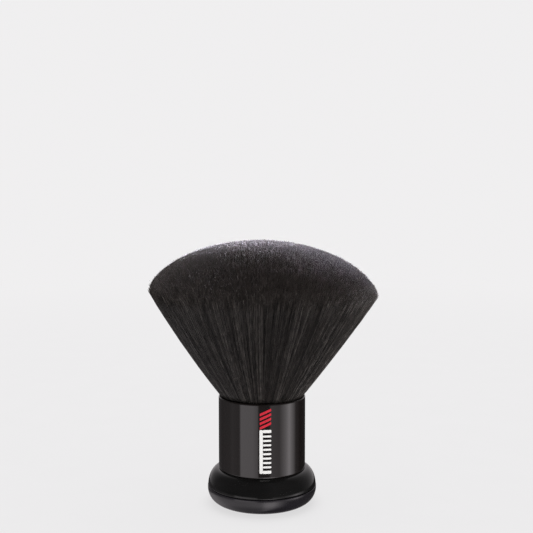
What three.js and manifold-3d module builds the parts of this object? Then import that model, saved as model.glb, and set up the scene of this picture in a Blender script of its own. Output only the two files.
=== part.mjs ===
// A stand-up neck duster brush: a fan of filaments set in a gloss ferrule on a
// weighted foot. Millimetres, +Z up, origin at the centre of the foot's flat
// underside. Every piece is turned about the Z axis; two of them carry ribs.

import * as THREE from "three";
import { mergeVertices } from "three/addons/utils/BufferGeometryUtils.js";
import Module from "manifold-3d";

const wasm = await Module();
wasm.setup();

// ---------------------------------------------------------------- dimensions

// Outside of the object, measured up from the table.
const FERRULE_RADIUS = 19;
const FOOT_RADIUS = 23.9;
const SEAM_HEIGHT = 7.9; // parting line between the two halves of the foot
const SHOULDER_HEIGHT = 15.6; // where the ferrule stands on the foot
const RIM_HEIGHT = 47.5; // mouth of the ferrule
const CROWN_HEIGHT = 92.3; // widest ring of the filament fan
const OVERALL_HEIGHT = 115.3;

// Walls and clearances.
const WALL = 2; // moulded plastic
const FERRULE_WALL = 0.8; // drawn aluminium
const SLIP = 0.1; // between parts that push together
const REST = 0.05; // between parts that stand on each other
const SEAM_GAP = 0.3; // shadow line round the foot
const CAP_LEDGE = 0.2; // the cap stands this much proud of the core at the seam
const RIB = 1.6;

// Foot.
const FOOT_FLAT_RADIUS = 15; // the ring it stands on
const FOOT_TOP_FULLNESS = 1.82; // exponent of the rounded shoulder, 2 is an ellipse
const FOOT_BOTTOM_FULLNESS = 2.47;
const SPIGOT_RADIUS = 20.4; // ring of the foot cap that snaps into the core
const SPIGOT_TOP = 12;
const BEAD = 0.4; // how far the snap bead stands out
const BEAD_HEIGHT = 10.3;
const BALLAST_RADIUS = 15;
const BALLAST_THICKNESS = 5;

// Handle core.
const CORE_TOP = 24; // web under the knot cup
const CORE_BORE = 16.2;
const CORE_CHAMFER = 0.6;
const PLUG_RADIUS = FERRULE_RADIUS - FERRULE_WALL - SLIP; // what fits inside the ferrule

// Filament knot and the cup that holds it.
const SOCKET_RADIUS = 9.6;
const SOCKET_FLOOR = 27;
const SOCKET_TOP = 36.6;
const CUP_WALL = 1.6;
const LIP_BEVEL = 0.35;
const RESIN_TOP = 29.5;
const BAND_RADIUS = 9.35;
const BAND_THICKNESS = 0.7;
const BAND_TOP = 35.6;
const ROOT_RADIUS = BAND_RADIUS - BAND_THICKNESS - SLIP - REST;
const ROOT_FLARE_START = 36.2;
const MOUTH_RADIUS = 18.05; // fan where it leaves the ferrule
const FLARE_SLOPE = 0.78; // outward run per rise at the mouth
const FLARE_CURL = 0.0018; // how fast the outer filaments straighten up
const DOME_FULLNESS = 0.6;

const SEGMENTS = 64;
const RIB_COUNT = 6;

// ------------------------------------------------------------------- helpers

const point = (radius, height) => new THREE.Vector2(radius, height);

// Points of a rounded corner from (r0, z0) on the side to (r1, z1) on the end face.
function roundedCorner([r0, z0], [r1, z1], fullness, steps) {
  const points = [];
  for (let i = 0; i <= steps; i++) {
    const angle = ((Math.PI / 2) * i) / steps;
    const outward = Math.cos(angle) ** (2 / fullness);
    const along = Math.sin(angle) ** (2 / fullness);
    points.push(point(r1 + (r0 - r1) * outward, z0 + (z1 - z0) * along));
  }
  return points;
}

// Twice the signed area inside a profile in the (radius, height) plane.
function signedArea(profile) {
  return profile.reduce((sum, p, i) => {
    const q = profile[(i + 1) % profile.length];
    return sum + p.x * q.y - q.x * p.y;
  }, 0);
}

// A profile turned about +Z. It starts and ends on the axis, or it is a closed ring.
function turned(profile) {
  const onAxis = profile[0].x === 0;
  const loop = signedArea(profile) > 0 ? profile : [...profile].reverse();
  const outline = onAxis ? loop : [...loop, loop[0]];
  return new THREE.LatheGeometry(outline, SEGMENTS).rotateX(Math.PI / 2);
}

function solidFrom(geometry) {
  const bare = geometry.clone();
  bare.deleteAttribute("normal");
  bare.deleteAttribute("uv");
  const merged = mergeVertices(bare, 1e-4);
  return new wasm.Manifold(
    new wasm.Mesh({
      numProp: 3,
      vertProperties: merged.attributes.position.array,
      triVerts: new Uint32Array(merged.index.array),
    }),
  );
}

function geometryFrom(solid) {
  const mesh = solid.getMesh();
  const geometry = new THREE.BufferGeometry();
  geometry.setAttribute("position", new THREE.BufferAttribute(mesh.vertProperties, 3));
  geometry.setIndex(new THREE.BufferAttribute(mesh.triVerts, 1));
  geometry.computeVertexNormals();
  return geometry;
}

// A body joined to upright ribs that run through the axis and reach a radius on
// both sides. A cavity, if there is one, is cut out of the result.
function withRibs(body, radius, bottom, top, cavity = null) {
  let solid = solidFrom(body);
  for (let i = 0; i < RIB_COUNT / 2; i++) {
    const rib = new THREE.BoxGeometry(2 * radius, RIB, top - bottom);
    rib.translate(0, 0, (top + bottom) / 2);
    rib.rotateZ((2 * Math.PI * i) / RIB_COUNT);
    solid = solid.add(solidFrom(rib));
  }
  return geometryFrom(cavity ? solid.subtract(solidFrom(cavity)) : solid);
}

// ------------------------------------------------------------------ materials

const GLOSS_BLACK_LACQUER = { color: 0x0b0a0a, roughness: 0.12, metalness: 0.3 };
const GLOSS_BLACK_PLASTIC = { color: 0x0a0a0b, roughness: 0.2, metalness: 0 };
const NATURAL_PLASTIC = { color: 0x1c1c1d, roughness: 0.5, metalness: 0 };
const ALUMINIUM = { color: 0xb9babc, roughness: 0.35, metalness: 0.9 };
const STEEL = { color: 0x7d7f82, roughness: 0.4, metalness: 0.9 };
const RESIN = { color: 0x8a6a2e, roughness: 0.25, metalness: 0 };
const FILAMENT = { color: 0x110f10, roughness: 0.6, metalness: 0 };

// ---------------------------------------------------------------------- foot

// Lower half of the foot: a dish with a flat underside, a ring that centres the
// ballast, and a spigot whose bead snaps into the core.
function footCap() {
  const seam = SEAM_HEIGHT - SEAM_GAP / 2;
  const outside = roundedCorner(
    [FOOT_RADIUS, seam],
    [FOOT_FLAT_RADIUS, 0],
    FOOT_BOTTOM_FULLNESS,
    8,
  );
  const spigotBore = SPIGOT_RADIUS - 1.6;
  const ballastRing = BALLAST_RADIUS + 2 * SLIP;
  const ringTop = WALL + 2;
  return turned([
    point(0, 0),
    ...outside.reverse(),
    point(SPIGOT_RADIUS, seam),
    point(SPIGOT_RADIUS, BEAD_HEIGHT - 2 * BEAD),
    point(SPIGOT_RADIUS + BEAD, BEAD_HEIGHT),
    point(SPIGOT_RADIUS, BEAD_HEIGHT + 2 * BEAD),
    point(SPIGOT_RADIUS, SPIGOT_TOP - BEAD),
    point(SPIGOT_RADIUS - BEAD, SPIGOT_TOP),
    point(spigotBore, SPIGOT_TOP),
    point(spigotBore, WALL + 1.5),
    point(spigotBore - 1.5, WALL),
    point(ballastRing + 1, WALL),
    point(ballastRing + 1, ringTop),
    point(ballastRing, ringTop),
    point(ballastRing, WALL),
    point(0, WALL),
  ]);
}

// Steel slug that makes the brush stand up, lying in the foot cap.
function ballastDisc() {
  const bottom = WALL + REST;
  const top = bottom + BALLAST_THICKNESS;
  const chamfer = 0.4;
  return turned([
    point(0, bottom),
    point(BALLAST_RADIUS - chamfer, bottom),
    point(BALLAST_RADIUS, bottom + chamfer),
    point(BALLAST_RADIUS, top - chamfer),
    point(BALLAST_RADIUS - chamfer, top),
    point(0, top),
  ]);
}

// Upper half of the foot with the hollow plug that the ferrule is pushed over.
// Its ribs hang from the web and reach down to the ballast, to hold it still.
function handleCore() {
  const seam = SEAM_HEIGHT + SEAM_GAP / 2;
  const skirtBore = SPIGOT_RADIUS + 2 * SLIP;
  const shoulder = roundedCorner(
    [FOOT_RADIUS - CAP_LEDGE, seam],
    [FERRULE_RADIUS + SLIP, SHOULDER_HEIGHT],
    FOOT_TOP_FULLNESS,
    8,
  );
  const body = turned([
    point(0, CORE_TOP - WALL),
    point(CORE_BORE, CORE_TOP - WALL),
    point(CORE_BORE, SHOULDER_HEIGHT - WALL),
    point(SPIGOT_RADIUS - 1, SPIGOT_TOP + 0.8),
    point(skirtBore, SPIGOT_TOP + 2 * SLIP),
    point(skirtBore, BEAD_HEIGHT + 2 * BEAD),
    point(skirtBore + BEAD, BEAD_HEIGHT),
    point(skirtBore, BEAD_HEIGHT - 2 * BEAD),
    point(skirtBore, seam),
    ...shoulder,
    point(PLUG_RADIUS, SHOULDER_HEIGHT),
    point(PLUG_RADIUS, CORE_TOP - CORE_CHAMFER),
    point(PLUG_RADIUS - CORE_CHAMFER, CORE_TOP),
    point(0, CORE_TOP),
  ]);
  const ribRadius = (CORE_BORE + PLUG_RADIUS) / 2;
  const ballastTop = WALL + REST + BALLAST_THICKNESS;
  return withRibs(body, ribRadius, ballastTop + SLIP, CORE_TOP - WALL / 2);
}

// ------------------------------------------------------------------- ferrule

// Drawn tube that joins the fan to the foot, with a rounded mouth.
function ferrule() {
  const inner = FERRULE_RADIUS - FERRULE_WALL;
  const middle = FERRULE_RADIUS - FERRULE_WALL / 2;
  const curl = FERRULE_WALL / 2;
  const mouth = [];
  for (let i = 0; i <= 4; i++) {
    const angle = (Math.PI * i) / 4;
    mouth.push(point(middle + curl * Math.cos(angle), RIM_HEIGHT - curl + curl * Math.sin(angle)));
  }
  return turned([
    point(inner, SHOULDER_HEIGHT + REST),
    point(FERRULE_RADIUS, SHOULDER_HEIGHT + REST),
    ...mouth,
  ]);
}

// -------------------------------------------------------------- filament knot

// Funnel-shaped cup pushed into the ferrule. Its fins stiffen the socket.
function knotCup() {
  const bottom = CORE_TOP + REST;
  const shaft = SOCKET_RADIUS + CUP_WALL;
  const lip = RIM_HEIGHT - 0.6;
  const funnelTop = [
    point(PLUG_RADIUS - LIP_BEVEL, lip),
    point(SOCKET_RADIUS, SOCKET_TOP),
    point(SOCKET_RADIUS, SOCKET_FLOOR),
    point(0, SOCKET_FLOOR),
  ];
  const body = turned([
    point(0, bottom),
    point(shaft, bottom),
    point(shaft, SOCKET_TOP - CUP_WALL / 2),
    point(PLUG_RADIUS, lip - 1.5 * CUP_WALL),
    point(PLUG_RADIUS, lip - LIP_BEVEL),
    ...funnelTop,
  ]);
  const cavity = turned([point(0, lip), ...funnelTop]);
  return withRibs(body, PLUG_RADIUS - SLIP, bottom, lip - 2 * CUP_WALL, cavity);
}

// Set resin in the bottom of the socket, under the filament ends.
function resinPlug() {
  const radius = SOCKET_RADIUS - SLIP;
  const bottom = SOCKET_FLOOR + REST;
  return turned([
    point(0, bottom),
    point(radius, bottom),
    point(radius, RESIN_TOP - 0.3),
    point(radius - 0.3, RESIN_TOP),
    point(0, RESIN_TOP),
  ]);
}

// Crimped aluminium band round the filament roots.
function rootBand() {
  const inner = BAND_RADIUS - BAND_THICKNESS;
  const bottom = RESIN_TOP + SLIP;
  const roll = 0.2;
  return turned([
    point(inner, bottom),
    point(BAND_RADIUS - roll, bottom),
    point(BAND_RADIUS, bottom + roll),
    point(BAND_RADIUS, BAND_TOP - roll),
    point(BAND_RADIUS - roll, BAND_TOP),
    point(inner, BAND_TOP),
  ]);
}

// Radius of the fan's side at a height above the ferrule's mouth.
function fanRadius(rise) {
  return MOUTH_RADIUS + FLARE_SLOPE * rise - FLARE_CURL * rise ** 2;
}

// The filament bundle as one soft solid: banded root, flaring sides, trimmed dome.
function bristleHead() {
  const sideSteps = 9;
  const domeSteps = 12;
  const crownRise = CROWN_HEIGHT - RIM_HEIGHT;
  const crownRadius = fanRadius(crownRise);
  const domeRise = OVERALL_HEIGHT - CROWN_HEIGHT;
  const side = [];
  for (let i = 0; i < sideSteps; i++) {
    const rise = (crownRise * i) / sideSteps;
    side.push(point(fanRadius(rise), RIM_HEIGHT + rise));
  }
  const dome = [];
  for (let i = 0; i <= domeSteps; i++) {
    const angle = ((Math.PI / 2) * i) / domeSteps;
    const reach = Math.cos(angle);
    const lift = Math.max(0, 1 - reach ** 2) ** DOME_FULLNESS;
    const radius = i === domeSteps ? 0 : crownRadius * reach;
    dome.push(point(radius, CROWN_HEIGHT + domeRise * lift));
  }
  return turned([
    point(0, RESIN_TOP + REST),
    point(ROOT_RADIUS, RESIN_TOP + REST),
    point(ROOT_RADIUS, ROOT_FLARE_START),
    ...side,
    ...dome,
  ]);
}

// ------------------------------------------------------------------- assembly

const duster = new THREE.Group();

function place(name, geometry, look) {
  const mesh = new THREE.Mesh(geometry, new THREE.MeshStandardMaterial(look));
  mesh.name = name;
  duster.add(mesh);
}

place("foot_cap", footCap(), GLOSS_BLACK_PLASTIC);
place("ballast_disc", ballastDisc(), STEEL);
place("handle_core", handleCore(), GLOSS_BLACK_PLASTIC);
place("ferrule", ferrule(), GLOSS_BLACK_LACQUER);
place("knot_cup", knotCup(), NATURAL_PLASTIC);
place("resin_plug", resinPlug(), RESIN);
place("root_band", rootBand(), ALUMINIUM);
place("bristle_head", bristleHead(), FILAMENT);

export default duster;
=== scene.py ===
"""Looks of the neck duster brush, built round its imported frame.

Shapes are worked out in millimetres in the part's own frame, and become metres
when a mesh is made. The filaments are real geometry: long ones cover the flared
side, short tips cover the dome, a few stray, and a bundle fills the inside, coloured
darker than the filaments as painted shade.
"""

import math

import bpy
import numpy as np
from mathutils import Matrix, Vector, kdtree


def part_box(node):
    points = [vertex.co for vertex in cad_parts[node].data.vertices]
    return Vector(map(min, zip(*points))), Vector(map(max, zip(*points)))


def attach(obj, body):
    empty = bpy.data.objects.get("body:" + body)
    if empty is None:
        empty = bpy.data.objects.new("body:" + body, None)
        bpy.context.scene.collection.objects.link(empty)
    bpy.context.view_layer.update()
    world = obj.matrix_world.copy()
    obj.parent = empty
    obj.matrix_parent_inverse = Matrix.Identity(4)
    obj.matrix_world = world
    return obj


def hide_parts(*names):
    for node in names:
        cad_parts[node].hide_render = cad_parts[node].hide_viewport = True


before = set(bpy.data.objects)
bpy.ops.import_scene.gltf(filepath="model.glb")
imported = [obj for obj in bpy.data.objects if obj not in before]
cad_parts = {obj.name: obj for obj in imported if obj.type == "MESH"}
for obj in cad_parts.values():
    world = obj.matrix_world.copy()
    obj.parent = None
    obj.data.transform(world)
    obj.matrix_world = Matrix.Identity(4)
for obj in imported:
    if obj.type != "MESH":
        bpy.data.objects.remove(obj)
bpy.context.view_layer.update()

MM = 0.001
TAU = 2 * math.pi
random = np.random.default_rng(19)


# ------------------------------------------------------------ driving dimensions


def box_mm(node):
    """Lowest and highest corners of a CAD node, in millimetres."""
    low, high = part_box(node)
    return np.array(low) / MM, np.array(high) / MM


TUBE_LOW, TUBE_HIGH = box_mm("ferrule")
CORE_LOW, CORE_HIGH = box_mm("handle_core")
CAP_HIGH = box_mm("foot_cap")[1]
HEAD_LOW, HEAD_HIGH = box_mm("bristle_head")

# Clearances, as in the CAD.
SLIP = 0.1  # between parts that push together
REST = 0.05  # between parts that stand on each other

# Ferrule and foot, as in the CAD.
TUBE_RADIUS = TUBE_HIGH[0]
TUBE_WALL = 0.8
RIM = TUBE_HIGH[2]
SHOULDER = TUBE_LOW[2] - REST
PLUG_RADIUS = TUBE_RADIUS - TUBE_WALL - SLIP
PLUG_CHAMFER = 0.6
CORE_RADIUS = CORE_HIGH[0]
CORE_BORE = 16.2
CAP_RADIUS = CAP_HIGH[0]
CAP_FLAT_RADIUS = 15.0
CAP_FULLNESS = 2.47
SHOULDER_FULLNESS = 1.82
SEAM_LOW = 7.85
SEAM_HIGH = 8.1
SEAM_EDGE = 0.25  # rounding of the two edges at the seam
SPIGOT_RADIUS = 20.4
SPIGOT_BORE = 18.8
BALLAST_RING = 15.2
BEAD = 0.4
BEAD_HEIGHT = 10.3
WALL = 2.0
RIB = 1.6
RIB_COUNT = 6

# The cup that holds the filament roots, and the band round them.
SOCKET_RADIUS = 9.6
SOCKET_FLOOR = 27.0
SOCKET_TOP = 36.6
CUP_WALL = 1.6
BAND_THICKNESS = 0.7

# The fan of filaments. Rise is the height above the ferrule's mouth.
ROOT_RADIUS = 8.5
ROOT_RISE = 36.2 - RIM
MOUTH_RADIUS = 18.05
FLARE_SLOPE = 0.78
FLARE_CURL = 0.0018
DOME_FULLNESS = 0.6
CROWN_RADIUS = HEAD_HIGH[0]
CROWN_RISE = (
    FLARE_SLOPE - math.sqrt(FLARE_SLOPE**2 - 4 * FLARE_CURL * (CROWN_RADIUS - MOUTH_RADIUS))
) / (2 * FLARE_CURL)
DOME_RISE = HEAD_HIGH[2] - RIM - CROWN_RISE
LEAN = math.radians(1.6)  # the fan leans a little to +X

# Filaments.
FILAMENT_RADIUS = 0.055
SIDE_FILAMENTS = 13200
SIDE_DEPTH = 0.12  # share of the fan's radius that the side filaments fill
SIDE_POINTS = 10
SIDE_SECTORS = 4
SIDE_START = -2.5  # rise at which the side filaments start, hidden in the cup
DOME_FILAMENTS = 72000
DOME_POINTS = 4
DOME_SECTORS = 8
STRAY_FILAMENTS = 90
STRAY_POINTS = 10
TIP_LENGTH = 6.0
CRIMP = 0.08  # how far the filaments wave from side to side

TURN_SEGMENTS = 256


# ----------------------------------------------------------------- mesh helpers


def arc(centre, radius, start, end, steps=6):
    """Points on a circular arc in the (radius, height) plane, angles in degrees."""
    angles = np.radians(np.linspace(start, end, steps + 1))
    return [(centre[0] + radius * math.cos(a), centre[1] + radius * math.sin(a)) for a in angles]


def rounded_corner(side, end, fullness, steps):
    """Points of a superellipse from a point on the side to one on the end face."""
    points = []
    for angle in np.linspace(0, math.pi / 2, steps + 1):
        outward = max(math.cos(angle), 0) ** (2 / fullness)
        along = math.sin(angle) ** (2 / fullness)
        points.append((end[0] + (side[0] - end[0]) * outward, side[1] + (end[1] - side[1]) * along))
    return points


def new_object(name, mesh):
    obj = bpy.data.objects.new(name, mesh)
    bpy.context.scene.collection.objects.link(obj)
    return obj


def turned(name, outline, segments=TURN_SEGMENTS, sharp_angle=35):
    """A closed solid turned about Z from an anticlockwise outline in the (radius, height) plane.

    An outline that starts on the axis ends on it too; any other is a ring.
    """
    outline = np.array(outline, float)
    count = len(outline)
    angles = np.arange(segments) * TAU / segments
    starts = []
    vertices = []
    for radius, height in outline:
        starts.append(len(vertices))
        if radius < 1e-9:
            vertices.append((0, 0, height))
        else:
            vertices.extend((radius * math.cos(a), radius * math.sin(a), height) for a in angles)
    steps = np.linalg.norm(np.roll(outline, -1, axis=0) - outline, axis=1)
    along = np.concatenate([[0], np.cumsum(steps)]) / steps.sum()

    def corner(k, j):
        on_axis = outline[k % count, 0] < 1e-9
        vertex = starts[k % count] + (0 if on_axis else j % segments)
        return vertex, (j / segments, along[k])

    faces = []
    uvs = []
    for k in range(count):
        near = outline[k, 0] < 1e-9
        far = outline[(k + 1) % count, 0] < 1e-9
        if near and far:
            continue
        for j in range(segments):
            corners = [corner(k, j), corner(k, j + 1), corner(k + 1, j + 1), corner(k + 1, j)]
            if near:
                corners.pop(1)
            elif far:
                corners.pop(2)
            faces.append([vertex for vertex, _ in corners])
            uvs.extend(uv for _, uv in corners)
    mesh = bpy.data.meshes.new(name)
    mesh.from_pydata(np.array(vertices) * MM, [], faces)
    layer = mesh.uv_layers.new(name="OFBake")
    layer.data.foreach_set("uv", np.array(uvs, np.float32).ravel())
    mesh.shade_smooth()
    mesh.set_sharp_from_angle(angle=math.radians(sharp_angle))
    return new_object(name, mesh)


def filaments(name, paths, radii, tones, azimuths):
    """Closed three-sided filaments in one mesh, smooth shaded.

    paths is (filaments, points, 3) and radii (filaments, points). The UV layer
    holds each filament's tone across and its length upwards.
    """
    sides = 3
    count, points, _ = paths.shape
    along = np.gradient(paths, axis=1)
    along /= np.linalg.norm(along, axis=2, keepdims=True)
    sideways = np.stack([-np.sin(azimuths), np.cos(azimuths), np.zeros(count)], axis=1)[:, None, :]
    first = sideways - (sideways * along).sum(axis=2, keepdims=True) * along
    first /= np.linalg.norm(first, axis=2, keepdims=True)
    second = np.cross(along, first)
    turn = random.uniform(0, TAU, count)[:, None] + np.arange(sides) * TAU / sides
    offset = (
        np.cos(turn)[:, None, :, None] * first[:, :, None, :]
        + np.sin(turn)[:, None, :, None] * second[:, :, None, :]
    )
    vertices = paths[:, :, None, :] + radii[:, :, None, None] * offset

    index = np.arange(count * points * sides).reshape(count, points, sides)
    following = np.roll(index, -1, axis=2)
    quads = np.stack([index[:, :-1], following[:, :-1], following[:, 1:], index[:, 1:]], axis=-1)
    caps = np.stack([index[:, 0, ::-1], index[:, -1]], axis=1)
    corners = np.concatenate([quads.ravel(), caps.ravel()])
    quad_count = quads.size // 4
    cap_count = caps.size // sides
    loop_starts = np.concatenate(
        [np.arange(quad_count) * 4, quad_count * 4 + np.arange(cap_count) * sides]
    )

    mesh = bpy.data.meshes.new(name)
    mesh.vertices.add(vertices.size // 3)
    mesh.vertices.foreach_set("co", (vertices * MM).astype(np.float32).ravel())
    mesh.loops.add(len(corners))
    mesh.loops.foreach_set("vertex_index", corners.astype(np.int32))
    mesh.polygons.add(len(loop_starts))
    mesh.polygons.foreach_set("loop_start", loop_starts.astype(np.int32))
    mesh.update(calc_edges=True)
    length = np.broadcast_to(np.linspace(0, 1, points)[None, :, None], index.shape)
    tone = np.broadcast_to(tones[:, None, None], index.shape)
    uv = np.stack([tone, length], axis=-1).reshape(-1, 2)[corners]
    layer = mesh.uv_layers.new(name="OFBake")
    layer.data.foreach_set("uv", uv.astype(np.float32).ravel())
    mesh.shade_smooth()
    return new_object(name, mesh)


# -------------------------------------------------------------- material helpers


class Look:
    """A node material with its principled shader, and short ways to add nodes."""

    def __init__(self, name):
        self.material = bpy.data.materials.new(name)
        self.material.use_nodes = True
        self.tree = self.material.node_tree
        self.shader = self.tree.nodes["Principled BSDF"]

    def plug(self, value, socket):
        if isinstance(value, bpy.types.NodeSocket):
            self.tree.links.new(value, socket)
        else:
            socket.default_value = value

    def add(self, kind, inputs=None, **settings):
        node = self.tree.nodes.new(kind)
        for key, value in settings.items():
            setattr(node, key, value)
        for key, value in (inputs or {}).items():
            self.plug(value, node.inputs[key])
        return node

    def set(self, **values):
        for key, value in values.items():
            self.plug(value, self.shader.inputs[key.replace("_", " ")])

    def place(self):
        return self.add("ShaderNodeTexCoord").outputs["Object"]

    def stretched(self, vector, scale):
        return self.add("ShaderNodeMapping", {"Vector": vector, "Scale": scale}).outputs["Vector"]

    def noise(self, vector, scale, detail=3.0, roughness=0.5):
        inputs = {"Vector": vector, "Scale": scale, "Detail": detail, "Roughness": roughness}
        return self.add("ShaderNodeTexNoise", inputs).outputs["Fac"]

    def ramp(self, value, *stops):
        """A colour ramp. Each stop is (place, colour or grey)."""
        node = self.add("ShaderNodeValToRGB", {"Fac": value})
        elements = node.color_ramp.elements
        while len(elements) < len(stops):
            elements.new(0.5)
        for element, (position, colour) in zip(elements, stops):
            element.position = position
            grey = not hasattr(colour, "__len__")
            element.color = (colour, colour, colour, 1) if grey else (*colour, 1)
        return node.outputs["Color"]

    def span(self, value, low, high, from_low=0.0, from_high=1.0):
        inputs = {
            "Value": value,
            "From Min": from_low,
            "From Max": from_high,
            "To Min": low,
            "To Max": high,
        }
        return self.add("ShaderNodeMapRange", inputs).outputs["Result"]

    def product(self, first, second):
        """Two colours multiplied."""
        mix = self.add("ShaderNodeMix", data_type="RGBA", blend_type="MULTIPLY")
        for value, index in ((1.0, 0), (first, 6), (second, 7)):
            self.plug(value, mix.inputs[index])
        return mix.outputs[2]

    def bump(self, height, distance, strength):
        inputs = {"Height": height, "Distance": distance, "Strength": strength}
        return self.add("ShaderNodeBump", inputs).outputs["Normal"]


# --------------------------------------------------------------------- materials


def lacquer_look():
    """Gloss black lacquer on drawn aluminium, with faint orange peel and rub marks round it."""
    look = Look("ferrule_lacquer")
    place = look.place()
    rubs = look.noise(look.stretched(place, (60, 60, 5000)), 1.0, 4, 0.6)
    peel = look.noise(place, 1400, 2)
    look.set(
        Base_Color=look.ramp(rubs, (0.3, (0.006, 0.0045, 0.0042)), (0.75, (0.0095, 0.007, 0.0066))),
        Roughness=look.span(rubs, 0.055, 0.13, 0.3, 0.75),
        Coat_Weight=0.35,
        Coat_Roughness=0.03,
        Normal=look.bump(peel, 0.000004, 0.25),
    )
    return look.material


def shoulder_look():
    """Gloss black moulded plastic of the foot's upper half."""
    look = Look("foot_plastic_black")
    place = look.place()
    flow = look.noise(look.stretched(place, (40, 40, 160)), 1.0, 5, 0.55)
    grain = look.noise(place, 2600, 2)
    look.set(
        Base_Color=look.ramp(flow, (0.3, (0.0042, 0.0042, 0.0042)), (0.7, (0.0075, 0.0073, 0.0073))),
        Roughness=look.span(flow, 0.08, 0.16, 0.3, 0.7),
        Specular_IOR_Level=0.4,
        Normal=look.bump(grain, 0.000003, 0.2),
    )
    return look.material


def base_look():
    """The foot's lower half: the same plastic, rougher, with a lighter, slightly violet base colour as
    a painted sheen.
    """
    look = Look("foot_plastic_satin_painted_sheen")
    place = look.place()
    flow = look.noise(look.stretched(place, (50, 50, 200)), 1.0, 5, 0.55)
    grain = look.noise(place, 3000, 2)
    look.set(
        # The lighter, violet colour is painted sheen on the same black plastic.
        Base_Color=look.ramp(flow, (0.3, (0.0095, 0.0085, 0.0105)), (0.7, (0.014, 0.0125, 0.016))),
        Roughness=look.span(flow, 0.13, 0.21, 0.3, 0.7),
        Normal=look.bump(grain, 0.000004, 0.3),
    )
    return look.material


def filament_look(name, dark, light, painted_glint, patchiness):
    """Dyed nylon filament. Its tone runs across the UV layer, its length up it. Its palest tone is a
    painted glint.

    The dye is patchy over a few millimetres, so that streaks fade in and out. A
    patchiness of 1 takes it from a third of the colour to nearly twice the colour.
    """
    look = Look(name)
    uv = look.add("ShaderNodeUVMap", uv_map="OFBake").outputs["UV"]
    split = look.add("ShaderNodeSeparateXYZ", {"Vector": uv})
    # The palest tone, at the top of the range, is a painted glint.
    tone = look.ramp(split.outputs["X"], (0.0, dark), (0.7, light), (1.0, painted_glint))
    # Darker towards the root and a little lighter at the very tip.
    fade = look.ramp(split.outputs["Y"], (0.0, 0.75), (0.2, 0.95), (0.9, 1.0), (1.0, 1.15))
    patches = look.noise(look.stretched(look.place(), (700, 700, 130)), 1.0, 3, 0.6)
    thin = 1 - 0.65 * patchiness
    full = 1 + 0.8 * patchiness
    dye = look.ramp(patches, (0.32, thin), (0.5, 0.95), (0.68, full))
    look.set(
        Base_Color=look.product(look.product(tone, fade), dye),
        Roughness=look.span(split.outputs["X"], 0.5, 0.32),
    )
    return look.material


def bundle_look():
    """Packed filaments behind the ones that can be told apart, matt and streaked. They are coloured
    darker than any filament: painted shade of the bundle's depth.
    """
    look = Look("bristle_bundle")
    grain = look.noise(look.stretched(look.place(), (1500, 1500, 120)), 1.0)
    look.set(
        # Darker than the darkest filament: painted shade between the packed filaments.
        Base_Color=look.ramp(grain, (0.35, (0.0015, 0.0014, 0.0016)), (0.7, (0.006, 0.0055, 0.006))),
        Roughness=look.span(grain, 0.7, 0.95),
        Specular_IOR_Level=0.2,
    )
    return look.material


def ink_look(name, colour, faded):
    """Pad-printed ink, a little uneven where it is thin."""
    look = Look(name)
    cover = look.noise(look.place(), 2200, 4, 0.6)
    look.set(
        Base_Color=look.ramp(cover, (0.3, faded), (0.5, colour)),
        Roughness=look.span(cover, 0.5, 0.32),
    )
    return look.material


def moulded_look():
    """Unfinished black moulded plastic inside the ferrule, with tool marks."""
    look = Look("cup_plastic")
    marks = look.noise(look.stretched(look.place(), (120, 120, 2600)), 1.0, 4, 0.6)
    look.set(
        Base_Color=look.ramp(marks, (0.3, (0.018, 0.018, 0.019)), (0.7, (0.035, 0.035, 0.036))),
        Roughness=look.span(marks, 0.45, 0.65),
        Normal=look.bump(marks, 0.00002, 0.3),
    )
    return look.material


def steel_look():
    """Mild steel slug with the fine rings that a lathe leaves."""
    look = Look("ballast_steel")
    place = look.place()
    inputs = {"Vector": place, "Scale": 900.0, "Distortion": 1.5, "Detail": 3.0}
    settings = {"wave_type": "RINGS", "rings_direction": "Z"}
    rings = look.add("ShaderNodeTexWave", inputs, **settings).outputs["Fac"]
    stain = look.noise(place, 90, 5, 0.6)
    look.set(
        Base_Color=look.ramp(stain, (0.35, (0.22, 0.2, 0.18)), (0.6, (0.42, 0.42, 0.43))),
        Metallic=1.0,
        Roughness=look.span(rings, 0.28, 0.5),
        Normal=look.bump(rings, 0.00001, 0.4),
    )
    return look.material


def band_look():
    """Crimped aluminium strip, dulled by handling."""
    look = Look("band_aluminium")
    drawn = look.noise(look.stretched(look.place(), (200, 200, 4200)), 1.0)
    look.set(
        Base_Color=look.ramp(drawn, (0.3, (0.55, 0.56, 0.57)), (0.7, (0.75, 0.76, 0.77))),
        Metallic=1.0,
        Roughness=look.span(drawn, 0.25, 0.5),
    )
    return look.material


def resin_look():
    """Set amber resin, cloudy where air was stirred in."""
    look = Look("resin")
    cloud = look.noise(look.place(), 500, 5, 0.65)
    look.set(
        Base_Color=look.ramp(cloud, (0.3, (0.2, 0.1, 0.02)), (0.7, (0.5, 0.32, 0.1))),
        Roughness=look.span(cloud, 0.12, 0.3),
        Normal=look.bump(cloud, 0.00004, 0.3),
    )
    return look.material


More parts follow.
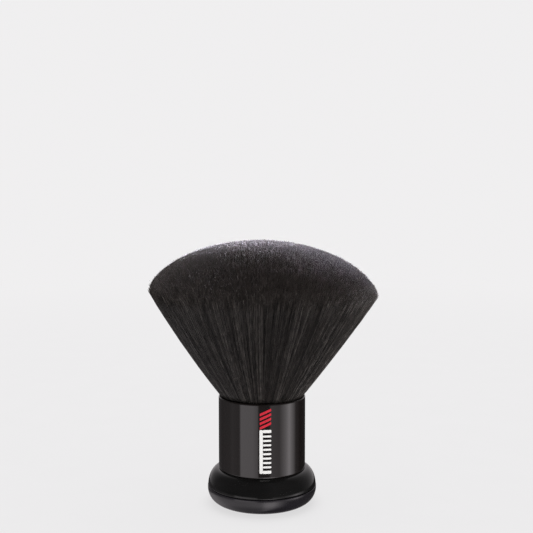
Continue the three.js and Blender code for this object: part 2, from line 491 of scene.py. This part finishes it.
def floor_look(horizon):
    """Pale card that fades into the backdrop with distance."""
    look = Look("studio_floor")
    place = look.place()
    mottle = look.noise(place, 40, 4)
    look.set(
        Base_Color=look.ramp(mottle, (0.3, (0.8, 0.795, 0.798)), (0.7, (0.83, 0.825, 0.828))),
        Roughness=0.9,
        Specular_IOR_Level=0.1,
    )
    away = look.add("ShaderNodeVectorMath", {0: place}, operation="LENGTH").outputs["Value"]
    inputs = {"Value": away, "From Min": 0.1, "From Max": 1.0, "To Min": 0.78}
    fade = look.add("ShaderNodeMapRange", inputs, interpolation_type="SMOOTHSTEP")
    glow = look.add("ShaderNodeEmission", {"Color": (*horizon, 1)}).outputs["Emission"]
    inputs = {0: fade.outputs["Result"], 1: look.shader.outputs["BSDF"], 2: glow}
    mixed = look.add("ShaderNodeMixShader", inputs).outputs["Shader"]
    look.plug(mixed, look.tree.nodes["Material Output"].inputs["Surface"])
    return look.material


# -------------------------------------------------------- ferrule, foot and marks


def ferrule_tube():
    """Drawn tube with a fully rounded mouth and a broken lower edge."""
    inner = TUBE_RADIUS - TUBE_WALL
    middle = TUBE_RADIUS - TUBE_WALL / 2
    bottom = TUBE_LOW[2]
    edge = 0.2
    curl = TUBE_WALL / 2
    flat = 0.5  # close rings by the ends keep the wall between them straight in its shading
    outline = [
        (inner, bottom),
        *arc((TUBE_RADIUS - edge, bottom + edge), edge, -90, 0),
        (TUBE_RADIUS, bottom + edge + flat),
        (TUBE_RADIUS, RIM - curl - flat),
        *arc((middle, RIM - curl), curl, 0, 180, 12),
    ]
    return turned("ferrule_tube", outline)


def join_ribs(obj, outline, count, spacing):
    """Unites upright ribs with a turned solid.

    The outline of a rib is in the (radius, height) plane, anticlockwise.
    """
    corners = [(radius, side * RIB / 2, height) for side in (-1, 1) for radius, height in outline]
    size = len(outline)
    faces = [tuple(range(size)), tuple(range(2 * size - 1, size - 1, -1))]
    faces += [(k, size + k, size + (k + 1) % size, (k + 1) % size) for k in range(size)]
    for i in range(count):
        mesh = bpy.data.meshes.new("rib")
        mesh.from_pydata(np.array(corners) * MM, [], faces)
        rib = new_object("rib", mesh)
        rib.rotation_euler.z = i * spacing
        union = obj.modifiers.new("rib", "BOOLEAN")
        union.operation = "UNION"
        union.solver = "MANIFOLD"
        union.object = rib
        depsgraph = bpy.context.evaluated_depsgraph_get()
        joined = bpy.data.meshes.new_from_object(obj.evaluated_get(depsgraph))
        obj.modifiers.clear()
        obj.data = joined
        bpy.data.objects.remove(rib)
    return obj


def foot_shoulder():
    """The foot's upper half with its plug, ribbed inside down to the ballast."""
    top = CORE_HIGH[2]
    spigot_top = CAP_HIGH[2]
    bore = SPIGOT_RADIUS + 2 * SLIP
    edge = SEAM_EDGE
    side = (CORE_RADIUS, SEAM_HIGH + edge)
    shoulder = rounded_corner(side, (TUBE_RADIUS + SLIP, SHOULDER), SHOULDER_FULLNESS, 32)
    outline = [
        (0, top - WALL),
        (CORE_BORE, top - WALL),
        (CORE_BORE, SHOULDER - WALL),
        (SPIGOT_RADIUS - 1, spigot_top + 0.8),
        (bore, spigot_top + 2 * SLIP),
        (bore, BEAD_HEIGHT + 2 * BEAD),
        (bore + BEAD, BEAD_HEIGHT),
        (bore, BEAD_HEIGHT - 2 * BEAD),
        (bore, SEAM_HIGH),
        *arc((CORE_RADIUS - edge, SEAM_HIGH + edge), edge, -90, 0),
        *shoulder[1:],
        (PLUG_RADIUS, SHOULDER),
        (PLUG_RADIUS, top - PLUG_CHAMFER),
        (PLUG_RADIUS - PLUG_CHAMFER, top),
        (0, top),
    ]
    body = turned("foot_shoulder", outline)
    reach = (CORE_BORE + PLUG_RADIUS) / 2
    low = CORE_LOW[2]
    high = top - WALL / 2
    rib = [(-reach, low), (reach, low), (reach, high), (-reach, high)]
    return join_ribs(body, rib, RIB_COUNT // 2, TAU / RIB_COUNT)


def foot_base():
    """The foot's lower half: a dish with a flat underside and a snap spigot."""
    edge = SEAM_EDGE
    side = rounded_corner((CAP_RADIUS, SEAM_LOW - edge), (CAP_FLAT_RADIUS, 0), CAP_FULLNESS, 32)
    spigot_top = CAP_HIGH[2]
    fillet = 1.5
    outline = [
        (0, 0),
        *side[::-1],
        *arc((CAP_RADIUS - edge, SEAM_LOW - edge), edge, 0, 90)[1:],
        (SPIGOT_RADIUS, SEAM_LOW),
        (SPIGOT_RADIUS, BEAD_HEIGHT - 2 * BEAD),
        (SPIGOT_RADIUS + BEAD, BEAD_HEIGHT),
        (SPIGOT_RADIUS, BEAD_HEIGHT + 2 * BEAD),
        (SPIGOT_RADIUS, spigot_top - BEAD),
        (SPIGOT_RADIUS - BEAD, spigot_top),
        (SPIGOT_BORE, spigot_top),
        *arc((SPIGOT_BORE - fillet, WALL + fillet), fillet, 0, -90),
        (BALLAST_RING + 1, WALL),
        (BALLAST_RING + 1, 2 * WALL),
        (BALLAST_RING, 2 * WALL),
        (BALLAST_RING, WALL),
        (0, WALL),
    ]
    return turned("foot_base", outline)


def rounded_bar(radius, bottom, top, edge):
    """Outline of a solid disc or plug with rounded edges."""
    return [
        (0, bottom),
        *arc((radius - edge, bottom + edge), edge, -90, 0),
        *arc((radius - edge, top - edge), edge, 0, 90),
        (0, top),
    ]


def ballast_slug():
    """Steel slug lying in the foot's lower half."""
    low, high = box_mm("ballast_disc")
    return turned("ballast_slug", rounded_bar(high[0], low[2], high[2], 0.4))


def resin_button():
    """Set resin in the bottom of the socket, under the filament ends."""
    low, high = box_mm("resin_plug")
    return turned("resin_button", rounded_bar(high[0], low[2], high[2], 0.3))


def crimp_band():
    """Strip round the filament roots, with rolled edges and two crimped grooves."""
    low, high = box_mm("root_band")
    outer = high[0]
    inner = outer - BAND_THICKNESS
    roll = 0.2
    groove_depth = 0.12
    height = high[2] - low[2]
    side = []
    for share in np.linspace(0.1, 0.9, 41):
        groove = groove_depth * max(0.0, -math.cos(2 * TAU * share)) ** 2
        side.append((outer - groove, low[2] + share * height))
    outline = [
        (inner, low[2]),
        *arc((outer - roll, low[2] + roll), roll, -90, 0),
        *side,
        *arc((outer - roll, high[2] - roll), roll, 0, 90),
        (inner, high[2]),
    ]
    return turned("crimp_band", outline)


def finned_cup():
    """Funnel in the ferrule that spreads the filaments, its socket stiffened by fins."""
    low, high = box_mm("knot_cup")
    bottom = low[2]
    lip = high[2]
    shaft = SOCKET_RADIUS + CUP_WALL
    edge = 0.35
    outline = [
        (0, bottom),
        *arc((shaft - edge, bottom + edge), edge, -90, 0),
        (shaft, SOCKET_TOP - CUP_WALL / 2),
        (PLUG_RADIUS, lip - 1.5 * CUP_WALL),
        *arc((PLUG_RADIUS - edge, lip - edge), edge, 0, 90),
        (SOCKET_RADIUS, SOCKET_TOP),
        (SOCKET_RADIUS, SOCKET_FLOOR),
        (0, SOCKET_FLOOR),
    ]
    body = turned("finned_cup", outline)
    in_wall = SOCKET_RADIUS + CUP_WALL / 2  # fins start inside the wall, so that they join it
    reach = PLUG_RADIUS - SLIP
    fin_bottom = bottom + 0.2
    fin_top = lip - 2 * CUP_WALL
    fin = [
        (in_wall, fin_bottom),
        (reach, fin_bottom),
        (reach, fin_top),
        (reach - 1.2, fin_top),
        (in_wall, SOCKET_TOP - 0.4),
    ]
    return join_ribs(body, fin, RIB_COUNT, TAU / RIB_COUNT)


MARK_AZIMUTH = math.radians(-90 + 4.7)  # the print faces a little to the right of front
INK_SINK = 0.005
INK_PROUD = 0.03


def printed(name, shapes):
    """Ink on the ferrule. Each shape lists columns of (distance across, lower z, upper z)."""
    vertices = []
    faces = []
    for columns in shapes:
        start = len(vertices)
        for across, low, high in columns:
            azimuth = MARK_AZIMUTH + across / TUBE_RADIUS
            for radius in (TUBE_RADIUS - INK_SINK, TUBE_RADIUS + INK_PROUD):
                for height in (low, high):
                    vertices.append(
                        (radius * math.cos(azimuth), radius * math.sin(azimuth), height)
                    )
        # In each column: 0 inner low, 1 inner high, 2 outer low, 3 outer high.
        last = start + 4 * (len(columns) - 1)
        for a in range(start, last, 4):
            b = a + 4
            faces += [(a + 2, b + 2, b + 3, a + 3), (a, a + 1, b + 1, b)]
            faces += [(a, b, b + 2, a + 2), (a + 1, a + 3, b + 3, b + 1)]
        faces += [(start, start + 2, start + 3, start + 1)]
        faces += [(last, last + 1, last + 3, last + 2)]
    mesh = bpy.data.meshes.new(name)
    mesh.from_pydata(np.array(vertices) * MM, [], faces)
    return new_object(name, mesh)


def bar(left, right, low, high, corner=0.0, steps=8):
    """Columns of a rectangle whose corners are rounded."""
    columns = []
    for across in left + (right - left) * (0.5 - 0.5 * np.cos(np.linspace(0, math.pi, steps + 1))):
        inset = max(0.0, corner - (across - left), corner - (right - across))
        cut = corner - math.sqrt(max(corner**2 - inset**2, 0.0))
        cut = min(cut, (high - low) / 2 - 0.02)
        columns.append((across, low + cut, high - cut))
    return columns


def comb_mark():
    """A plain comb, printed upright: a spine with teeth to one side."""
    bottom = TUBE_LOW[2] + 2.2
    length = 18.8
    spine, tooth_root, tooth_tip = -2.5, -1.1, 2.5
    end_tooth = 1.3
    tooth = 0.85
    gap_count = 9
    shapes = [bar(spine, tooth_root, bottom, bottom + length, 0.5)]
    for low in (bottom, bottom + length - end_tooth):
        shapes.append(bar(tooth_root, tooth_tip, low, low + end_tooth, 0.3))
    pitch = (length - 2 * end_tooth + tooth) / gap_count
    for i in range(1, gap_count):
        low = bottom + end_tooth - tooth + i * pitch
        shapes.append(bar(tooth_root, tooth_tip, low, low + tooth, 0.35))
    return printed("print_comb", shapes)


def stripe_mark():
    """Slanted bars above the comb, as on a barber's pole."""
    bottom = TUBE_LOW[2] + 22.2
    shapes = []
    for i in range(4):
        low = bottom + 1.9 * i
        columns = []
        for across in np.linspace(-2.4, 2.4, 9):
            slant = 0.45 * across
            columns.append((across, low + slant, low + slant + 1.1))
        shapes.append(columns)
    return printed("print_stripes", shapes)


# --------------------------------------------------------------------- filaments


def fan_radius(rise):
    """Radius of the outermost filaments at a rise above the mouth, or below it in the cup."""
    rise = np.asarray(rise, float)
    inside = ROOT_RADIUS + (MOUTH_RADIUS - ROOT_RADIUS) * (rise - ROOT_RISE) / -ROOT_RISE
    outside = MOUTH_RADIUS + FLARE_SLOPE * rise - FLARE_CURL * rise**2
    return np.where(rise < 0, inside, outside)


def dome_rise(radius):
    """Rise of the trimmed dome at a distance from the axis."""
    share = np.clip(np.asarray(radius, float) / CROWN_RADIUS, 0, 1)
    return CROWN_RISE + DOME_RISE * (1 - share**2) ** DOME_FULLNESS


def tip_rise(reach):
    """Rise at which a filament of a given reach (0 at the axis, 1 outermost) meets the dome."""
    radius = CROWN_RADIUS * np.sin(np.linspace(0, math.pi / 2, 400))
    rise = dome_rise(radius)
    return np.interp(reach, radius / fan_radius(rise), rise)


def leaned(points):
    """Bends the fan over to +X, more and more up to the crown. Points have their rise as z."""
    x, y, rise = points[..., 0], points[..., 1], points[..., 2]
    below = np.clip(rise, 0, CROWN_RISE)
    beyond = np.maximum(rise - CROWN_RISE, 0)
    angle = LEAN * below / CROWN_RISE
    shift = LEAN * below**2 / (2 * CROWN_RISE) + math.sin(LEAN) * beyond
    height = np.minimum(rise, CROWN_RISE) + math.cos(LEAN) * beyond
    out = np.stack([shift + x * np.cos(angle), y, height - x * np.sin(angle)], axis=-1)
    out[..., 2] += RIM
    return out


# Tufts, large to small: pitch, pull towards the middle, spread of tone, spread of reach.
# Pitches are in the unit disc that the roots fill.
SIDE_TUFTS = (
    (0.16, 0.0, 0.06, 0.0),
    (0.05, 0.02, 0.06, 0.002),
    (0.02, 0.1, 0.1, 0.003),
    (0.01, 0.12, 0.24, 0.0),
)
DOME_TUFTS = (
    (0.05, 0.03, 0.06, 0.002),
    (0.018, 0.1, 0.08, 0.002),
)
LUMP_PITCH = 0.018
LUMP_HEIGHT = 0.15  # millimetres by which the trim of the dome is uneven

# A filament's tone goes from 0, dark, to 1, pale, where the palest tones are painted glints: here its
# middle value and its spread.
SIDE_TONE = (0.4, 0.24)
DOME_TONE = (0.45, 0.1)


def sunflower(count, inner=0.0):
    """Even reaches and azimuths of filaments over a disc, or over its outer ring."""
    order = np.arange(count) + 0.5
    reach = np.sqrt(inner**2 + (1 - inner**2) * order / count)
    azimuth = order * math.pi * (3 - math.sqrt(5))
    return reach, azimuth % TAU


def on_disc(reach, azimuth):
    """Places in the unit disc."""
    return np.stack([reach * np.cos(azimuth), reach * np.sin(azimuth)], axis=1)


def gathered(roots, pitch):
    """For each root, the middle of the tuft it belongs to, and that tuft's number."""
    count = int(math.pi / pitch**2)
    reach, azimuth = sunflower(count)
    reach = reach + random.normal(0, pitch * 0.35, count)
    azimuth = azimuth + random.normal(0, pitch * 0.35, count)
    middles = on_disc(reach, azimuth)
    tree = kdtree.KDTree(count)
    for i, (x, y) in enumerate(middles):
        tree.insert((x, y, 0), i)
    tree.balance()
    tuft = np.array([tree.find((x, y, 0))[1] for x, y in roots])
    return middles[tuft], tuft


def grow(reach, azimuth, start_rise, end_rise, points, tufts, swing):
    """Paths of filaments from a rise to a rise, and how light each one's tufts make it.

    The higher they are, the more the filaments are drawn into tufts, and the more
    each one swings aside, in millimetres at the crown.
    """
    count = len(reach)
    share = np.linspace(0, 1, points)
    rise = start_rise[:, None] + (end_rise - start_rise)[:, None] * share
    grown = np.clip(rise / CROWN_RISE, 0, 1)
    roots = on_disc(reach, azimuth)
    place = np.repeat(roots[:, None, :], points, axis=1)
    lightness = np.zeros(count)
    for pitch, pull, tone, spread in tufts:
        middle, tuft = gathered(roots, pitch)
        tuft_count = tuft.max() + 1
        offset = middle[:, None, :] - roots[:, None, :]
        place = place + offset * (pull * grown**1.5)[..., None]
        swell = random.normal(0, spread, tuft_count)[tuft]
        place = place * (1 + swell[:, None] * grown)[..., None]
        lightness += random.normal(0, tone, tuft_count)[tuft]
    flat = place * fan_radius(rise)[..., None]
    phase = random.uniform(0, TAU, (count, 1, 2))
    pitch = random.uniform(9, 16, (count, 1, 1))
    flat = flat + CRIMP * grown[..., None] * np.sin(TAU * rise[..., None] / pitch + phase)
    sideways = np.stack([-np.sin(azimuth), np.cos(azimuth)], axis=1)
    drift = random.normal(0, swing, (count, 1)) * sideways
    flat = flat + drift[:, None, :] * (grown**1.5)[..., None]
    return np.concatenate([flat, rise[..., None]], axis=-1), lightness


def tapered(count, points, radius, tip_share):
    """Filament radii that hold nearly to the end and then narrow."""
    share = np.linspace(0, 1, points)
    profile = np.where(share > 0.999, tip_share, 1.0)
    return radius * random.uniform(0.8, 1.2, (count, 1)) * profile


def toned(tone, lightness):
    """Tones of filaments about a middle value, given how light their tufts make them."""
    middle, spread = tone
    return np.clip(middle + lightness + random.normal(0, spread, len(lightness)), 0.02, 0.98)


def in_sectors(name, sectors, paths, radii, tones, azimuths):
    """The filaments as several pieces, one to each sector round the axis."""
    sector = ((azimuths % TAU) / TAU * sectors).astype(int)
    made = []
    for i in range(sectors):
        pick = sector == i
        made.append(
            filaments(f"{name}_{i + 1}", leaned(paths[pick]), radii[pick], tones[pick], azimuths[pick])
        )
    return made


def side_filaments():
    """Long filaments from inside the ferrule's mouth to the crown: the flared side."""
    reach, azimuth = sunflower(SIDE_FILAMENTS, 1 - SIDE_DEPTH)
    end = tip_rise(reach) + random.normal(0, 0.3, SIDE_FILAMENTS)
    start = np.full(SIDE_FILAMENTS, SIDE_START)
    paths, lightness = grow(reach, azimuth, start, end, SIDE_POINTS, SIDE_TUFTS, 1.0)
    radii = tapered(SIDE_FILAMENTS, SIDE_POINTS, FILAMENT_RADIUS, 0.6)
    tones = toned(SIDE_TONE, lightness)
    return in_sectors("bristle_side", SIDE_SECTORS, paths, radii, tones, azimuth)


def dome_filaments():
    """Short ends of the inner filaments, trimmed to the dome."""
    reach, azimuth = sunflower(DOME_FILAMENTS)
    reach = reach * (1 - SIDE_DEPTH * 0.3)
    lump = gathered(on_disc(reach, azimuth), LUMP_PITCH)[1]
    lumps = random.normal(0, LUMP_HEIGHT, lump.max() + 1)[lump]
    end = tip_rise(reach) + lumps + random.normal(0, 0.12, DOME_FILAMENTS)
    start = end - TIP_LENGTH
    paths, lightness = grow(reach, azimuth, start, end, DOME_POINTS, DOME_TUFTS, 0.3)
    share = np.linspace(0, 1, DOME_POINTS)
    paths[..., :2] += random.normal(0, 0.2, (DOME_FILAMENTS, 1, 2)) * share[:, None] ** 2
    radii = tapered(DOME_FILAMENTS, DOME_POINTS, FILAMENT_RADIUS * 1.1, 0.55)
    tones = toned(DOME_TONE, lightness)
    return in_sectors("bristle_dome", DOME_SECTORS, paths, radii, tones, azimuth)


def stray_filaments():
    """A few filaments that bend out of the fan or stand past the trim."""
    azimuth = random.uniform(0, TAU, STRAY_FILAMENTS)
    reach = np.sqrt(random.uniform(0.2, 1.0, STRAY_FILAMENTS))
    end = tip_rise(reach) + random.uniform(0.1, 0.9, STRAY_FILAMENTS)
    start = np.maximum(end - random.uniform(25, 45, STRAY_FILAMENTS), 2)
    paths, _ = grow(reach, azimuth, start, end, STRAY_POINTS, SIDE_TUFTS, 0.8)
    share = np.linspace(0, 1, STRAY_POINTS)
    swing = random.normal(0, 0.8, (STRAY_FILAMENTS, 1, 2))
    paths[..., :2] += swing * share[:, None] ** 3
    radii = tapered(STRAY_FILAMENTS, STRAY_POINTS, FILAMENT_RADIUS * 0.9, 0.4)
    # Strays are kept pale, up into the painted-glint tones.
    tones = random.uniform(0.5, 0.98, STRAY_FILAMENTS)
    return filaments("bristle_strays", leaned(paths), radii, tones, azimuth)


def bristle_bundle():
    """The mass of the bundle: banded root, cone through the cup, and an inset fan and dome."""
    inset = 1 - SIDE_DEPTH
    trim = 2.6  # how far its dome lies below the tips
    root_low = HEAD_LOW[2] - RIM
    side_rises = np.linspace(ROOT_RISE, CROWN_RISE - 3, 24)
    radii = fan_radius(side_rises) * np.where(side_rises < -3, 1, inset)
    top_angles = np.linspace(0, math.pi / 2, 24)[1:]
    top_radius = radii[-1] * np.cos(top_angles)
    top_low = side_rises[-1]
    lift = dome_rise(0) - trim - top_low
    top_rise = top_low + lift * (1 - (top_radius / radii[-1]) ** 2) ** DOME_FULLNESS
    outline = [
        (0, root_low),
        (ROOT_RADIUS, root_low),
        *zip(radii, side_rises),
        *zip(top_radius[:-1], top_rise[:-1]),
        (0, top_rise[-1]),
    ]
    obj = turned("bristle_bundle", outline, 128)
    co = np.empty(len(obj.data.vertices) * 3, np.float32)
    obj.data.vertices.foreach_get("co", co)
    bent = leaned(co.reshape(-1, 3) / MM) * MM
    obj.data.vertices.foreach_set("co", bent.astype(np.float32).ravel())
    obj.data.update()
    return obj


# -------------------------------------------------------------------- the studio

BACKDROP = (0.87, 0.862, 0.868)
AMBIENT = 0.38

# What polished surfaces see round the brush, as (azimuth from the camera's side
# towards +X in degrees, radiance): soft strips and dark flags at its own height,
# the dark front and lit back of the ceiling, and the table.
SIDE_RING = (
    (-180, 0.06),
    (-130, 0.07),
    (-95, 0.18),
    (-85, 0.28),
    (-61, 0.25),
    (-57, 1.25),
    (-24, 1.25),
    (-11, 0.9),
    (-8, 0.1),
    (19, 0.08),
    (24, 0.6),
    (47, 0.48),
    (66, 1.4),
    (77, 2.2),
    (86, 1.3),
    (101, 0.14),
    (120, 0.02),
    (180, 0.03),
)
CEILING_RING = (
    (-180, 0.8),
    (-160, 0.6),
    (-140, 0.3),
    (-118, 0.1),
    (-60, 0.05),
    (0, 0.03),
    (30, 0.13),
    (90, 0.07),
    (115, 0.2),
    (150, 0.55),
    (180, 0.8),
)
TABLE_RING = (
    (-180, 0.3),
    (-150, 0.35),
    (-120, 0.8),
    (-40, 0.95),
    (0, 1.15),
    (8, 2.3),
    (26, 2.5),
    (40, 1.0),
    (54, 0.25),
    (66, 0.05),
    (150, 0.06),
    (180, 0.3),
)


def studio_world():
    """Even backdrop for the eye, soft ambient light, and strips for polished surfaces to reflect."""
    world = bpy.data.worlds.new("studio")
    bpy.context.scene.world = world
    world.use_nodes = True
    world.cycles.sampling_method = "NONE"
    tree = world.node_tree
    tree.nodes.clear()

    def add(kind, inputs=None, **settings):
        node = tree.nodes.new(kind)
        for key, value in settings.items():
            setattr(node, key, value)
        for key, value in (inputs or {}).items():
            if isinstance(value, bpy.types.NodeSocket):
                tree.links.new(value, node.inputs[key])
            else:
                node.inputs[key].default_value = value
        return node

    def maths(operation, *values):
        return add("ShaderNodeMath", dict(enumerate(values)), operation=operation).outputs["Value"]

    direction = add("ShaderNodeTexCoord").outputs["Generated"]
    split = add("ShaderNodeSeparateXYZ", {"Vector": direction})
    x, y, z = (split.outputs[axis] for axis in "XYZ")
    azimuth = maths("ARCTAN2", x, maths("MULTIPLY", y, -1.0))
    turn = maths("MULTIPLY_ADD", azimuth, 1 / TAU, 0.5)

    def ring(stops):
        """Radiance as a function of azimuth."""
        peak = max(radiance for _, radiance in stops)
        ramp = add("ShaderNodeValToRGB", {"Fac": turn})
        elements = ramp.color_ramp.elements
        while len(elements) < len(stops):
            elements.new(0.5)
        for element, (degrees, radiance) in zip(elements, stops):
            element.position = degrees / 360 + 0.5
            element.color = (*[radiance / peak] * 3, 1)
        return maths("MULTIPLY", ramp.outputs["Color"], peak)

    def beyond(start, end):
        """How far a direction is past the start of a band of heights, 0 to 1."""
        inputs = {"Value": z, "From Min": start, "From Max": end}
        return add("ShaderNodeMapRange", inputs, interpolation_type="SMOOTHSTEP").outputs["Result"]

    up = beyond(-0.19, -0.13)
    down = beyond(-0.33, -0.38)
    under = maths("MULTIPLY_ADD", beyond(-0.6, -1.0), -0.65, 1.0)
    level = maths("SUBTRACT", 1.0, maths("ADD", up, down))
    above = maths("MULTIPLY", ring(CEILING_RING), up)
    beside = maths("MULTIPLY", ring(SIDE_RING), level)
    below = maths("MULTIPLY", ring(TABLE_RING), maths("MULTIPLY", down, under))
    seen = maths("ADD", above, maths("ADD", beside, below))

    path = add("ShaderNodeLightPath")
    gloss = add("ShaderNodeBackground", {"Color": (1, 0.945, 0.97, 1), "Strength": seen})
    ambient = add("ShaderNodeBackground", {"Color": (0.97, 0.97, 1, 1), "Strength": AMBIENT})
    backdrop = add("ShaderNodeBackground", {"Color": (*BACKDROP, 1), "Strength": 1.0})
    lit = add(
        "ShaderNodeMixShader",
        {
            0: path.outputs["Is Glossy Ray"],
            1: ambient.outputs["Background"],
            2: gloss.outputs["Background"],
        },
    )
    shown = add(
        "ShaderNodeMixShader",
        {
            0: path.outputs["Is Camera Ray"],
            1: lit.outputs["Shader"],
            2: backdrop.outputs["Background"],
        },
    )
    add("ShaderNodeOutputWorld", {"Surface": shown.outputs["Shader"]})


def aim(obj, target):
    direction = Vector(target) - obj.location
    obj.rotation_euler = direction.to_track_quat("-Z", "Y").to_euler()


def softbox(name, place, target, size, power, colour):
    data = bpy.data.lights.new(name, "AREA")
    data.shape = "RECTANGLE"
    data.size, data.size_y = size
    data.energy = power
    data.color = colour
    light = bpy.data.objects.new(name, data)
    bpy.context.scene.collection.objects.link(light)
    light.location = place
    aim(light, target)
    return light


def studio_floor():
    mesh = bpy.data.meshes.new("studio_floor")
    rim = [(3 * math.cos(a), 3 * math.sin(a), 0) for a in np.linspace(0, TAU, 97)[:-1]]
    mesh.from_pydata(rim, [], [tuple(range(len(rim)))])
    mesh.materials.append(floor_look(BACKDROP))
    floor = new_object("studio_floor", mesh)
    floor.location.z = -0.00005
    floor.visible_glossy = False  # polished parts see the strips, not the card
    return floor


def group(name, pieces, state="INCLUDE"):
    """Pieces that a light reaches, or that it passes by."""
    collection = bpy.data.collections.new(name)
    for piece in pieces:
        collection.objects.link(piece)
    for member in collection.collection_objects:
        member.light_linking.link_state = state
    return collection


def studio(dome, sides, foot):
    studio_world()
    floor = studio_floor()
    head = (0, 0, 0.085)
    key = softbox("key", (-0.45, -0.3, 0.7), head, (0.5, 0.5), 4.0, (1, 0.97, 0.95))
    fill = softbox("fill", (0.75, -0.6, 0.12), head, (0.5, 0.3), 6.0, (1, 0.97, 0.93))
    for light in (key, fill):
        light.visible_glossy = False  # polished parts see the ring in its place
        light.light_linking.receiver_collection = group(light.name, [floor], "EXCLUDE")
    rim = softbox("rim", (0.4, 0.62, 0.31), head, (0.3, 0.2), 33.0, (0.9, 0.84, 1))
    back = softbox("back", (-0.75, 0.3, 0.4), head, (0.4, 0.3), 5.5, (1, 0.95, 1))
    for light in (rim, back):
        light.light_linking.receiver_collection = group(light.name, dome)
    edge = softbox("edge", (0.66, 0.36, 0.12), head, (0.3, 0.3), 4.5, (1, 0.97, 0.98))
    edge.light_linking.receiver_collection = group("edge", sides)
    table = softbox("table", (0, 0.2, 1.4), (0, 0, 0), (1.2, 1.2), 14.0, (1, 1, 1))
    table.light_linking.receiver_collection = group("table", [floor])
    table.light_linking.blocker_collection = group("table_shade", foot)
    view = bpy.context.scene.view_settings
    view.view_transform = "Standard"
    view.look = "None"
    bpy.context.scene.cycles.denoising_prefilter = "NONE"  # keeps the filaments' grain


def main_camera():
    """The main view: from the front, just above the dome and looking slightly down."""
    data = bpy.data.cameras.new("camera")
    data.sensor_width = 36
    data.lens = 61.5
    data.clip_start = 0.01
    camera = bpy.data.objects.new("camera", data)
    bpy.context.scene.collection.objects.link(camera)
    distance = 20.74 * TUBE_RADIUS
    height = RIM + 4.68 * TUBE_RADIUS
    camera.location = Vector((2.0, -distance, height)) * MM
    camera.rotation_euler = (math.radians(90 - 4.71), 0, 0)
    bpy.context.scene.camera = camera


# ---------------------------------------------------------------------- assembly


def dress(obj, material, slot, *nodes):
    """Gives a new piece its material and its body, and hides the CAD nodes it stands for."""
    obj.data.materials.clear()
    obj.data.materials.append(material)
    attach(obj, "root")
    if nodes:
        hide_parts(*nodes)


def assemble():
    dress(ferrule_tube(), lacquer_look(), "ferrule_lacquer", "ferrule")
    shoulder = foot_shoulder()
    dress(shoulder, shoulder_look(), "core_plastic", "handle_core")
    base = foot_base()
    dress(base, base_look(), "foot_plastic", "foot_cap")
    white = ink_look("ink_white", (0.86, 0.86, 0.85), (0.7, 0.7, 0.7))
    red = ink_look("ink_red", (0.62, 0.008, 0.03), (0.45, 0.006, 0.02))
    dress(comb_mark(), white, "ferrule_lacquer")
    dress(stripe_mark(), red, "ferrule_lacquer")

    dress(bristle_bundle(), bundle_look(), "filament", "bristle_head")
    dark = (0.006, 0.005, 0.0045)
    # The last colour of each filament material is the painted glint.
    side = filament_look("filament_side", dark, (0.058, 0.051, 0.047), (0.15, 0.137, 0.13), 0.9)
    # The dome's copy of the nylon has a darker middle colour than the side's: painted shade on the
    # dome.
    tips = filament_look("filament_dome", dark, (0.0454, 0.0383, 0.0356), (0.151, 0.133, 0.127), 0.4)
    sides = [*side_filaments(), stray_filaments()]
    for piece in sides:
        dress(piece, side, "filament")
    dome = dome_filaments()
    for piece in dome:
        dress(piece, tips, "filament")

    dress(ballast_slug(), steel_look(), "ballast_steel", "ballast_disc")
    dress(finned_cup(), moulded_look(), "cup_plastic", "knot_cup")
    dress(resin_button(), resin_look(), "resin", "resin_plug")
    dress(crimp_band(), band_look(), "band_aluminium", "root_band")
    return dome, sides, (shoulder, base)


studio(*assemble())
main_camera()
